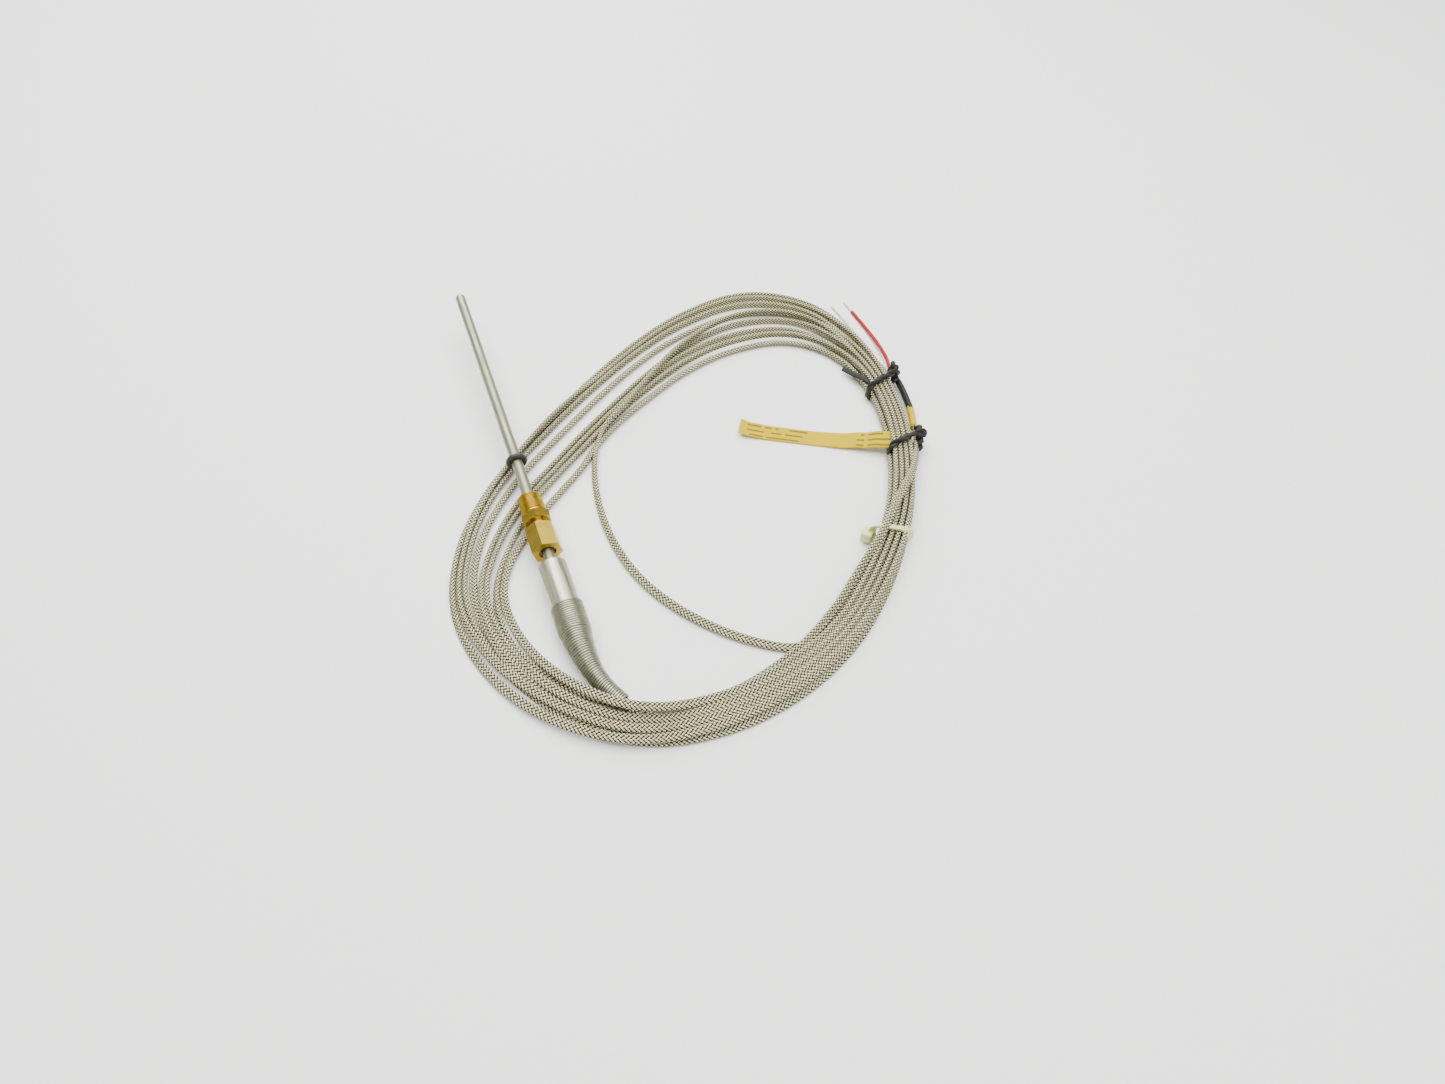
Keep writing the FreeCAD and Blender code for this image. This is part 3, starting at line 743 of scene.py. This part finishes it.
@dataclass
class Lead:
    """The flat braided lead: out of the spring, nine loose turns, and over the bundle to its dressed end."""

    width: float = 3.6 * MM
    thickness: float = 2.3 * MM
    waist: float = 0.5
    winding: tuple[int, ...] = (6, 5, 3, 1, 2, 4, 9, 8, 7)
    lying_flat: tuple[int, ...] = (4, 8)
    loose_lane: int = 9
    loose_from: float = 120.0
    stations: tuple[Station, ...] = (
        Station(285, 0.5, 0.0, (104.3, 102.9, 101.0, 100.0, 97.4, 95.0, 94.4, 92.0, 98.0), STACKED),
        Station(300, 0.75, 0.3, (97.0, 95.8, 94.0, 93.0, 90.2, 88.2, 87.3, 85.4, 91.0), STACKED),
        Station(315, 1.0, 1.2, (93.2, 92.6, 90.6, 90.0, 87.4, 85.4, 84.8, 82.8, 88.0), STACKED),
        Station(330, 1.0, 1.2, (93.0, 92.4, 90.6, 90.0, 87.6, 85.8, 85.2, 83.4, 88.2), STACKED),
        Station(345, 1.0, 1.2, (95.4, 94.9, 93.0, 92.5, 90.1, 88.2, 87.7, 85.9, 90.6), STACKED),
        Station(0, 1.0, 1.2, (101.4, 100.9, 99.0, 98.5, 96.1, 94.2, 93.7, 91.8, 96.6), STACKED),
        Station(15, 1.0, 1.2, (110.4, 109.8, 107.8, 107.2, 104.7, 102.8, 102.2, 100.2, 105.3), STACKED),
        Station(
            30, 1.0, 0.6, (126.0, 124.2, 121.3, 119.2, 115.4, 112.0, 110.2, 107.4, 117.0),
            (0, 0.6, 0, 0.6, 0.5, 0, 0.5, 0, 0.6),
        ),
        Station(
            45, 1.0, 0.0, (139.6, 136.8, 133.2, 129.0, 122.6, 115.2, 110.0, 105.2, 125.6),
            (0, 0, 0, 0, 0, 0, 0.4, 0, 0.8),
        ),
        Station(
            60, 1.0, 0.0, (137.2, 134.3, 128.0, 119.6, 110.8, 101.5, 91.5, 88.0, 114.5),
            (0, 0, 0, 0, 0, 0, 0.9, 0, 1.0),
        ),
        Station(
            75, 1.0, 0.0, (115.2, 112.3, 107.2, 100.0, 89.0, 84.2, 77.3, 71.5, 88.0),
            (0, 0, 0, 0, 0, 0, 0.2, 0, 1.1),
        ),
        Station(
            90, 1.0, 0.0, (96.0, 93.3, 90.0, 83.8, 72.6, 69.3, 65.0, 59.5, 66.8),
            (0, 0, 0, 0, 0, 0, 0, 0, 1.0),
        ),
        Station(
            105, 1.0, 0.0, (84.3, 81.9, 79.5, 73.6, 63.5, 60.6, 57.8, 53.5, 56.0),
            (0, 0, 0, 0, 0, 0, 0, 0, 1.0),
        ),
        Station(
            120, 1.0, 0.0, (78.7, 76.9, 75.0, 69.0, 59.8, 57.0, 54.2, 51.0, 52.5),
            (0, 0.8, 0, 0, 0, 0, 0, 0, 0.9),
        ),
        Station(
            135, 1.0, 0.0, (78.2, 76.4, 74.6, 68.8, 60.0, 57.2, 54.0, 50.4, 0.0),
            (0, 1, 0, 0, 0, 0, 0, 0, 0),
        ),
        Station(
            150, 0.6, 0.0, (83.2, 81.4, 79.6, 73.8, 64.6, 61.6, 58.2, 51.0, 0.0),
            (0, 0.8, 0, 0, 0, 0, 0, 0, 0),
        ),
        Station(
            165, 0.6, 0.0, (92.4, 90.6, 88.6, 83.0, 75.0, 71.6, 67.6, 59.0, 0.0),
            (0, 0.5, 0, 0, 0, 0, 0, 0, 0),
        ),
        Station(
            180, 0.7, 0.0, (104.9, 102.2, 99.6, 96.0, 89.6, 86.2, 80.2, 75.0, 0.0),
            (0, 0, 0, 0, 0, 0, 0, 0, 0),
        ),
        Station(
            195, 0.7, 0.0, (117.3, 114.7, 112.2, 108.6, 105.6, 103.2, 99.3, 96.6, 0.0),
            (0, 0, 0, 0, 0.5, 0.8, 0, 0, 0),
        ),
        Station(
            210, 0.3, 0.0, (123.5, 118.9, 117.4, 114.2, 115.6, 112.3, 110.8, 105.6, 0.0),
            (0, 1, 0, 0, 1, 1, 0, 0, 0),
        ),
        Station(
            225, 0.2, 0.0, (127.6, 121.6, 122.8, 116.2, 119.6, 117.6, 113.2, 112.8, 0.0),
            (0.9, 1, 0, 0, 0, 1, 0, 2.0, 0),
        ),
        Station(
            240, 0.1, 0.0, (127.5, 123.4, 127.2, 120.2, 123.6, 119.6, 112.9, 117.0, 0.0),
            (1, 1, 0, 0, 0, 1, 0, 2.8, 0),
        ),
        Station(
            255, 0.2, 0.0, (119.2, 115.6, 121.3, 114.7, 118.0, 112.2, 107.8, 108.7, 0.0),
            (1, 1, 0, 0, 0, 1, 0, 1, 0),
        ),
        Station(
            270, 0.4, 0.0, (110.4, 107.2, 112.8, 106.2, 109.4, 104.0, 98.6, 100.8, 0.0),
            (1, 1, 0, 0, 0, 1, 0.9, 1, 0),
        ),
    )
    tail: tuple[Point, ...] = (
        (-0.0023, -0.0938, 0.0067), (-0.0009, -0.1043, 0.0053), (0.0023, -0.1133, 0.0042),
        (
            0.0074, -0.1223, 0.0029
        ), (0.0155, -0.1298, 0.0019), (0.0260, -0.1337, 0.0013), (0.0404, -0.1328, 0.0013),
        (0.0552, -0.1271, 0.0014),
    )
    loose: tuple[Point, ...] = (
        (0.0380, 0.0167, 0.0024), (0.0318, 0.0057, 0.0018), (0.0274, -0.0088, 0.0018),
        (
            0.0246, -0.0258, 0.0018
        ), (0.0243, -0.0453, 0.0018), (0.0278, -0.0653, 0.0018), (0.0356, -0.0833, 0.0018),
        (
            0.0465, -0.0988, 0.0018
        ), (0.0595, -0.1118, 0.0016), (0.0735, -0.1208, 0.0013), (0.0840, -0.1190, 0.0012),
    )
    end: tuple[Point, ...] = (
        (
            0.0925, -0.1126, 0.0046
        ), (0.1113, -0.0980, 0.0060), (0.1200, -0.0922, 0.0082), (0.1290, -0.0856, 0.0105),
        (
            0.1385, -0.0760, 0.0112
        ), (0.1480, -0.0680, 0.0108), (0.1565, -0.0600, 0.0090), (0.1640, -0.0500, 0.0062),
        (0.1712, -0.0370, 0.0042), (0.1759, -0.0253, 0.0038), (0.1781, -0.0200, 0.0038),
    )

    def place(self, angle: float, radius: float, height: float) -> Point:
        """A point of the coil from its angle in degrees and its radius and height in millimetres."""
        bulge = 1.0 / math.cos(math.radians(7.5))
        turn = math.radians(angle)
        x = COIL_CENTRE[0] + bulge * radius * math.cos(turn)
        y = COIL_CENTRE[1] + bulge * radius * math.sin(turn)
        return (x * MM, y * MM, height * MM)

    def route(self) -> tuple[list[Point], list[float]]:
        """All the lead's control points, and how far it stands on edge at each.

        Returns:
            The points, and the tilts in radians.
        """
        points, edges = list(self.tail), [0.0, 0.0, 0.0, 0.1, 0.2, 0.2, 0.2, 0.3]
        for lane in self.winding:
            for station in self.stations:
                if lane == self.loose_lane and (station.radii[lane - 1] == 0.0):
                    continue
                free = 30.0 < station.angle < 220.0
                edge = min(station.edge, 0.35) if free and lane in self.lying_flat else station.edge
                tall = 2.3 + 1.3 * edge
                level = station.levels[lane - 1]
                height = station.lift + tall / 2 + level * (2.3 + 1.3 * station.edge)
                points.append(self.place(station.angle, station.radii[lane - 1], height))
                edges.append(edge)
                if lane == self.loose_lane and station.angle == self.loose_from:
                    points.extend(self.loose)
                    edges.extend([0.9, 0.8, 0.7, 0.6, 0.5, 0.4, 0.3, 0.2, 0.1, 0.1, 0.2])
        points.extend(self.end)
        edges.extend([0.5, 0.6, 0.6, 0.5, 0.4, 0.4, 0.5, 0.7, 0.9, 1.0, 1.0])
        return points, [ON_EDGE * e for e in edges]

    def build(self, dressed: Sequence[Object]) -> Object:
        """Args:
            dressed: the pieces on its far end; not used.

        Returns:
            The lead.
        """
        points, tilts = self.route()
        sweep = Sweep(
            "lead_braid", points, oval(self.width, self.thickness, self.waist, 24), tilts, steps=10
        )
        piece = placed(sweep.mesh(), "lead_braid", BRAID.material())
        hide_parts("cable_coil", "cable_tail", "cable_loose_turn", "cable_end")
        length = sum(math.dist(a, b) for a, b in zip(sweep.line, sweep.line[1:]))
        LOG.info("lead length %.3f m in %d rings", length, len(sweep.line))
        return piece


# ---------------------------------------------------------------- the dressed end of the lead


@dataclass
class CoreLeads:
    """The red and white insulated cores that leave the heat-shrunk sleeve, up to their stripped ends."""

    diameter: float = 1.8 * MM
    shared: tuple[Point, ...] = (
        (
            0.1765, -0.0215, 0.0038
        ), (0.1797, -0.0105, 0.0037), (0.1812, -0.0015, 0.0036), (0.1816, 0.0075, 0.0035),
    )
    red: tuple[Point, ...] = (
        (0.1849, 0.0160, 0.0032), (0.1870, 0.0300, 0.0019), (0.1876, 0.0440, 0.0010), (
            0.18736, 0.0552, 0.00084
        ),
        (0.1873, 0.0578, 0.0008),
    )
    white: tuple[Point, ...] = (
        (0.1813, 0.0165, 0.0018), (0.1817, 0.0300, 0.0012), (0.1813, 0.0435, 0.00085), (
            0.18042, 0.0538, 0.00079
        ),
        (0.1802, 0.0564, 0.00078),
    )

    def build(self, nodes: dict[str, Object]) -> None:
        """Args:
            nodes: the CAD nodes by name; not used.
        """
        for name, lift, rest, finish, slot, length in (
            ("red", 0.85 * MM, self.red, RED_LEAD, Slot.RED, 0.0800),
            ("white", -0.85 * MM, self.white, WHITE_LEAD, Slot.WHITE, 0.0780),
        ):
            points = [(x, y, z + lift) for x, y, z in self.shared] + list(rest)
            sweep = Sweep("core_" + name, points, oval(self.diameter, self.diameter), steps=8)
            piece = placed(sweep.mesh(), "core_" + name, finish.material())
            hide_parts("lead_" + name)


@dataclass
class LeadDressing:
    """The black heat-shrunk sleeve where the braid ends, and the flag label's wrap beside it."""

    wrap: tuple[Point, ...] = (
        (
            0.1722, -0.0335, 0.0040
        ), (0.1743, -0.0285, 0.0039), (0.1760, -0.0245, 0.0038), (0.1770, -0.0212, 0.0038),
    )
    sleeve: tuple[Point, ...] = (
        (
            0.1767, -0.0225, 0.0038
        ), (0.1783, -0.0165, 0.0038), (0.1796, -0.0110, 0.0037), (0.1806, -0.0060, 0.0037),
        (0.1812, -0.0015, 0.0036), (0.1815, 0.0030, 0.0036), (0.1816, 0.0070, 0.0035),
    )

    def build(self) -> list[Object]:
        """Make both tubes.

        Returns:
            The pieces.
        """
        film = Sweep("wrap_film", self.wrap, oval(4.3 * MM, 3.1 * MM, count=20), [ON_EDGE] * 4, steps=8)
        tube = Sweep(
            "shrunk_sleeve", self.sleeve, oval(4.5 * MM, 3.0 * MM, count=20), [ON_EDGE] * 7,
            [1.0, 1.0, 0.97, 0.92, 0.88, 0.86, 0.85], steps=8,
        )
        pieces = [
            placed(film.mesh(), "wrap_film", WRAP.material()),
            placed(tube.mesh(), "shrunk_sleeve", SHRINK.material()),
        ]
        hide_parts("label_wrap")
        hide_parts("heat_shrink_sleeve")
        return pieces


# ---------------------------------------------------------------- spring


def smooth_line(points: Sequence[Point], steps: int) -> list[Vector]:
    """Points along a smooth curve drawn by control points.

    Args:
        points: the control points.
        steps: how many points there are between two of them.

    Returns:
        The curve's points.
    """
    drawn = Sweep("guide", points, oval(MM, MM), steps=steps).spline()
    bare = bpy.data.meshes.new_from_object(drawn.evaluated_get(bpy.context.evaluated_depsgraph_get()))
    line = [v.co.copy() for v in bare.vertices]
    bpy.data.objects.remove(drawn)
    bpy.data.meshes.remove(bare)
    return line


def wound(
    line: Sequence[Vector], radius: Callable[[float], float], turn: Callable[[float], float], step: float
) -> list[Point]:
    """A path that winds round a line.

    Args:
        line: the line's points.
        radius: the winding's radius at a distance along the line.
        turn: its angle there, in radians.
        step: the distance between its points along the line.

    Returns:
        The winding's points.
    """
    along = [0.0]
    for here, there in zip(line, line[1:]):
        along.append(along[-1] + (there - here).length)
    heading = (line[1] - line[0]).normalized()
    side = heading.orthogonal().normalized()
    points, index = [], 0
    for count in range(int(along[-1] / step)):
        at = count * step
        while along[index + 1] < at:
            index += 1
        share = (at - along[index]) / (along[index + 1] - along[index])
        middle = line[index].lerp(line[index + 1], share)
        ahead = (line[index + 1] - line[index]).normalized()
        side = (side - ahead * side.dot(ahead)).normalized()
        other = ahead.cross(side)
        angle = turn(at)
        points.append(tuple(middle + radius(at) * (math.cos(angle) * side + math.sin(angle) * other)))
    return points


@dataclass
class StrainReliefSpring:
    """The close-wound spring that is screwed over the sleeve and tapers down to the lead."""

    wire: float = 0.92 * MM
    pitch: float = 0.97 * MM
    length: float = 45.0 * MM
    shape: tuple[tuple[float, float], ...] = (
        (0.0, 6.5), (12.0, 6.5), (13.5, 6.1), (22.0, 5.05), (31.0, 3.9), (39.0, 3.55), (60.0, 3.5),
    )
    centre: tuple[Point, ...] = (
        (-0.0023, -0.0744, 0.00781), (-0.0023, -0.0848, 0.00722), (-0.0023, -0.0938, 0.0067),
        (-0.0009, -0.1043, 0.0053), (0.0023, -0.1133, 0.0042), (0.0056, -0.1191, 0.0034),
    )

    def radius(self, along: float) -> float:
        """The winding's radius, to the middle of its wire, at a distance along the spring."""
        at = along / MM
        for (start, first), (end, last) in zip(self.shape, self.shape[1:]):
            if at <= end:
                return (first + (last - first) * (at - start) / (end - start)) * MM - self.wire / 2
        return self.shape[-1][1] * MM - self.wire / 2

    def build(self) -> None:
        """Wind the spring."""
        line = smooth_line(self.centre, 12)
        points = wound(line, self.radius, lambda at: 2.0 * math.pi * at / self.pitch, self.pitch / 16)
        sweep = Sweep(
            "spring_coils", points, oval(self.wire, self.wire, count=10), steps=2, twist="MINIMUM"
        )
        piece = placed(sweep.mesh(), "spring_coils", SPRING.material())
        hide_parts("strain_relief_spring")


# ---------------------------------------------------------------- ties and label


def beside_coil(angle: float, radius: float, z: float, slide: float) -> Point:
    """A point at an angle of the coil, from its radius and height in millimetres, slid along the turns."""
    turn = math.radians(angle)
    x = COIL_CENTRE[0] + radius * math.cos(turn) - slide * math.sin(turn)
    y = COIL_CENTRE[1] + radius * math.sin(turn) + slide * math.cos(turn)
    return (x * MM, y * MM, z * MM)


@dataclass
class TwistTie:
    """A plastic-coated tie wire: two strands once round the bundle, with their ends twisted outside it."""

    name: str
    node: str
    angle: float
    inner: float
    outer: float
    low: float
    high: float
    knot: tuple[Point, ...]
    skew: float = 0.0
    ribbon: tuple[Point, ...] = ()

    def at(self, radius: float, z: float, slide: float = 0.0) -> Point:
        """A point at a radius and height in millimetres, slid along the turns."""
        slide += self.skew * (2.0 * (radius - self.inner) / (self.outer - self.inner) - 1.0)
        return beside_coil(self.angle, radius, z, slide)

    def wrap(self) -> list[Point]:
        """The way once round the bundle, from the knot back to it."""
        i, o, low, high = self.inner, self.outer, self.low, self.high
        middle = (low + high) / 2
        return [
            self.at(
                o + 1.9, middle + 0.6, 0.0
            ), self.at(o + 1.0, high + 0.4, -0.2), self.at(o - 2.2, high + 1.0, -0.4),
            self.at(
                (i + o) / 2, high + 1.1, -0.8
            ), self.at(i + 2.0, high + 0.9, -1.1), self.at(i - 0.6, high + 0.1, -1.3),
            self.at(i - 1.0, middle, -1.2), self.at(i - 0.6, low, -0.8), self.at(i + 2.0, low - 0.2, -0.5),
            self.at(
                (i + o) / 2, low - 0.3, -0.2
            ), self.at(o - 2.0, low - 0.2, 0.1), self.at(o + 0.8, low + 0.4, 0.4),
            self.at(o + 1.9, middle - 0.4, 0.6),
        ]

    def twisted(
        self, axis: list[Vector], reach: float, lay: float, section: list[tuple[float, float]]
    ) -> list[Sweep]:
        """Two strands twisted round an axis.

        Args:
            axis: the axis.
            reach: how far each strand stands from it.
            lay: the length of one twist.
            section: each strand's section.

        Returns:
            The two sweeps.
        """
        return [
            Sweep(
                self.name,
                wound(
                    axis, lambda at: reach, lambda at, phase=phase: phase + 2.0 * math.pi * at / lay,
                    lay / 9,
                ),
                section, steps=2, twist="MINIMUM",
            )
            for phase in (0.0, math.pi)
        ]

    def build(self) -> None:
        """Make the wrap, the twisted ends and the folded ribbon as one piece."""
        strand = oval(2.0 * MM, 1.5 * MM, count=12)
        parts = self.twisted(smooth_line(self.wrap(), 8), 0.7 * MM, 13.0 * MM, strand)
        parts += self.twisted(
            smooth_line(self.knot, 8), 1.0 * MM, 6.5 * MM, oval(2.2 * MM, 1.7 * MM, count=12)
        )
        if self.ribbon:
            section = [
                (1.35 * MM * math.cos(t), (0.32 + 0.25 * math.cos(t) ** 6) * MM * math.sin(t))
                for t in (2.0 * math.pi * n / 16 for n in range(16))
            ]
            parts.append(Sweep(self.name, self.ribbon, section, [-0.3, -0.4, -0.5, -0.5, -0.5], steps=6))
        piece = placed(joined([part.mesh() for part in parts]), self.name, TIE.material())
        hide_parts(self.node)


@dataclass
class NylonTie:
    """The natural nylon cable tie: a thin band drawn round the bundle, its locking head on the inner side."""

    angle: float = 315.5
    band: tuple[tuple[float, float, float], ...] = (
        (
            79.8, 6.0, -1.5
        ), (80.2, 8.6, -1.0), (82.4, 9.2, -0.6), (87.0, 9.3, 0.4), (91.2, 9.2, 1.4), (93.8, 8.4, 2.0),
        (94.6, 6.0, 2.2), (94.6, 3.4, 2.0), (93.6, 1.0, 1.6), (91.2, 0.6, 1.2), (
            87.0, 0.55, 0.2
        ), (82.4, 0.6, -0.8),
        (80.2, 1.0, -1.3), (79.8, 3.4, -1.5),
    )

    def build(self) -> None:
        """Make the band and the head as one piece."""
        section = [
            (-1.8, -0.55), (1.8, -0.55), (1.95, -0.3), (1.95, 0.3), (1.8, 0.55), (-1.8, 0.55), (-1.95, 0.3),
            (-1.95, -0.3),
        ]
        section = [(x * MM, y * MM) for x, y in section]
        ring = Sweep(
            "nylon_band", [beside_coil(self.angle, *p) for p in self.band], section, steps=6, closed=True,
            twist="TANGENT",
        )
        bm = bmesh.new()
        bm.from_mesh(ring.mesh())
        head = bmesh.ops.create_cube(bm, size=1.0)["verts"]
        turn = Matrix.Rotation(math.radians(self.angle), 4, "Z")
        place = Matrix.Translation(
            Vector(beside_coil(self.angle, 78.2, 3.6, -2.6))
        ) @ turn @ Matrix.Diagonal((4.6 * MM, 5.4 * MM, 4.8 * MM, 1.0))
        bmesh.ops.transform(bm, matrix=place, verts=head)
        edges = [e for e in bm.edges if all(v in head for v in e.verts)]
        bmesh.ops.bevel(
            bm, geom=edges, offset=0.9 * MM, affect="EDGES", segments=3, profile=0.5, material=-1
        )
        mesh = bpy.data.meshes.new("nylon_tie")
        bm.to_mesh(mesh)
        bm.free()
        piece = placed(mesh, "nylon_tie", NYLON.material())
        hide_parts("cable_tie")


def joined(meshes: Sequence[Mesh]) -> Mesh:
    """Several meshes as one.

    Args:
        meshes: the meshes, which are removed.

    Returns:
        The joined mesh.
    """
    bm = bmesh.new()
    for mesh in meshes:
        bm.from_mesh(mesh)
        bpy.data.meshes.remove(mesh)
    made = bpy.data.meshes.new("joined")
    bm.to_mesh(made)
    bm.free()
    return made


@dataclass
class FlagLabel:
    """The yellow flag label's free strip, curled a little, its end tucked under the bundle."""

    start: tuple[float, float] = (99.0, -1.8)
    heading: float = -31.5
    width: float = 9.2
    length: float = 72.0
    thickness: float = 0.18
    profile: tuple[tuple[float, float], ...] = (
        (0, 2.4), (5, 1.1), (14, 0.5), (34, 0.4), (46, 1.0), (56, 2.6), (64, 4.4), (72, 5.4),
    )

    def build(self) -> None:
        """Make the strip."""
        along, across = 96, 8
        bm = bmesh.new()
        bmesh.ops.create_grid(bm, x_segments=along, y_segments=across, size=0.5, calc_uvs=True)
        layer = bm.loops.layers.uv.verify()
        for face in bm.faces:
            for loop in face.loops:
                loop[layer].uv = (loop.vert.co.x + 0.5, loop.vert.co.y + 0.5)
        turn = math.radians(self.heading)
        for vert in bm.verts:
            u, v = (vert.co.x + 0.5) * self.length, vert.co.y * self.width
            roll = 1.6 * max(0.0, (u - 30.0) / 42.0) ** 1.6
            z = self.height(u) + roll * (0.5 + v / self.width) + 0.03 * v * v * math.exp(-u / 9.0)
            x, y = u, v + 0.02 * roll * v
            vert.co = Vector((
                (self.start[0] + x * math.cos(turn) - y * math.sin(turn)) * MM,
                (self.start[1] + x * math.sin(turn) + y * math.cos(turn)) * MM,
                z * MM,
            ))
        bmesh.ops.solidify(bm, geom=bm.faces[:], thickness=self.thickness * MM)
        bmesh.ops.recalc_face_normals(bm, faces=bm.faces)
        mesh = bpy.data.meshes.new("flag_label")
        bm.to_mesh(mesh)
        bm.free()
        mesh.uv_layers[0].name = "film"
        piece = placed(mesh, "flag_label", LABEL.material())
        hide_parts("label_strip")

    def height(self, along: float) -> float:
        """The strip's height at a distance along it, in millimetres."""
        for (start, first), (end, last) in zip(self.profile, self.profile[1:]):
            if along <= end:
                share = (along - start) / (end - start)
                return first + (last - first) * share * share * (3.0 - 2.0 * share)
        return self.profile[-1][1]


# ---------------------------------------------------------------- studio


@dataclass
class Studio:
    """Floor, soft lights and the camera."""

    eye: Point = (-0.01886, -0.27762, 0.288)
    pitch_down: float = 51.0
    heading: float = -21.65
    lens: float = 22.2

    def build(self) -> None:
        """Make the floor, lights and camera."""
        scene = bpy.context.scene
        camera = bpy.data.cameras.new("camera")
        camera.lens = self.lens
        camera.sensor_width = 36.0
        camera.clip_start = 0.01
        shot = bpy.data.objects.new("camera", camera)
        shot.location = self.eye
        shot.rotation_euler = (math.radians(90.0 - self.pitch_down), 0.0, math.radians(self.heading))
        scene.collection.objects.link(shot)
        scene.camera = shot

        bm = bmesh.new()
        bmesh.ops.create_grid(bm, x_segments=1, y_segments=1, size=4.0)
        mesh = bpy.data.meshes.new("floor")
        bm.to_mesh(mesh)
        bm.free()
        floor = bpy.data.objects.new("floor", mesh)
        material = bpy.data.materials.new("floor_paint")
        material.use_nodes = True
        shader = material.node_tree.nodes["Principled BSDF"]
        shader.inputs["Base Color"].default_value = (0.86, 0.865, 0.85, 1.0)
        shader.inputs["Roughness"].default_value = 0.7
        mesh.materials.append(material)
        scene.collection.objects.link(floor)

        world = bpy.data.worlds.new("room")
        world.use_nodes = True
        world.node_tree.nodes["Background"].inputs["Color"].default_value = (1.0, 1.0, 0.97, 1.0)
        world.node_tree.nodes["Background"].inputs["Strength"].default_value = 0.35
        scene.world = world
        for name, place, aim, size, power in (
            ("overhead", (0.15, 0.15, 1.2), (0.05, -0.02, 0.0), 1.5, 45.0),
            ("far_side", (0.1, 1.3, 0.9), (0.05, 0.0, 0.0), 1.2, 26.0),
            ("near_side", (0.5, -1.0, 1.1), (0.05, 0.0, 0.0), 1.2, 12.0),
        ):
            light = bpy.data.lights.new(name, "AREA")
            light.shape = "SQUARE"
            light.size = size
            light.energy = power
            lamp = bpy.data.objects.new(name, light)
            lamp.location = place
            lamp.rotation_euler = (Vector(aim) - Vector(place)).to_track_quat("-Z", "Y").to_euler()
            scene.collection.objects.link(lamp)


def main() -> None:
    """Build and dress every piece."""
    logging.basicConfig(level=logging.INFO, format="%(message)s")
    Studio().build()
    nodes = frame["nodes"]
    finishes = {
        "probe_sheath": SHEATH, "tip_cap": SHEATH, "transition_sleeve": SLEEVE,
        "gland_body": BRASS, "gland_nut": BRASS, "gland_follower": BRASS, "gland_packing": PACKING,
        "rubber_ring": RUBBER,
        "conductor_red": WIRE, "conductor_white": WIRE, "insulator_beads": CERAMIC, "sleeve_potting": CEMENT,
        "sheath_seal": CEMENT, "thermoelement_positive": WIRE, "thermoelement_negative": WIRE,
        "splice_positive": CRIMP, "splice_negative": CRIMP, "hot_junction": WIRE,
        "inner_lead_positive": WHITE_LEAD, "inner_lead_negative": RED_LEAD,
    }
    made = {}
    for name, finish in finishes.items():
        material = made.setdefault(finish.name, finish.material())
        nodes[name].data.materials.clear()
        nodes[name].data.materials.append(material)
    Lead().build(LeadDressing().build())
    CoreLeads().build(nodes)
    StrainReliefSpring().build()
    TwistTie(
        "tie_upper", "twist_tie_upper", 12.5, 96.9, 112.6, 1.3, 8.8,
        knot=(
            (0.1784, -0.0028, 0.0046), (0.1802, -0.0013, 0.0066), (0.1818, 0.0010, 0.0074),
            (0.1822, 0.0040, 0.0078), (0.1812, 0.0066, 0.0078),
        ),
        ribbon=(
            (0.1672, -0.0005, 0.0062), (0.1656, 0.0035, 0.0058), (0.1642, 0.0075, 0.0048),
            (0.1628, 0.0120, 0.0036), (0.1612, 0.0166, 0.0030),
        ),
    ).build()
    TwistTie(
        "tie_lower", "twist_tie_lower", 350.0, 87.5, 103.4, 1.3, 8.8, skew=2.2,
        knot=(
            (0.1666, -0.0471, 0.0040), (0.1686, -0.0446, 0.0066), (0.1702, -0.0416, 0.0080),
            (0.1712, -0.0384, 0.0086), (0.1708, -0.0358, 0.0088),
        ),
    ).build()
    NylonTie().build()
    FlagLabel().build()


if __name__ == "__main__":
    main()
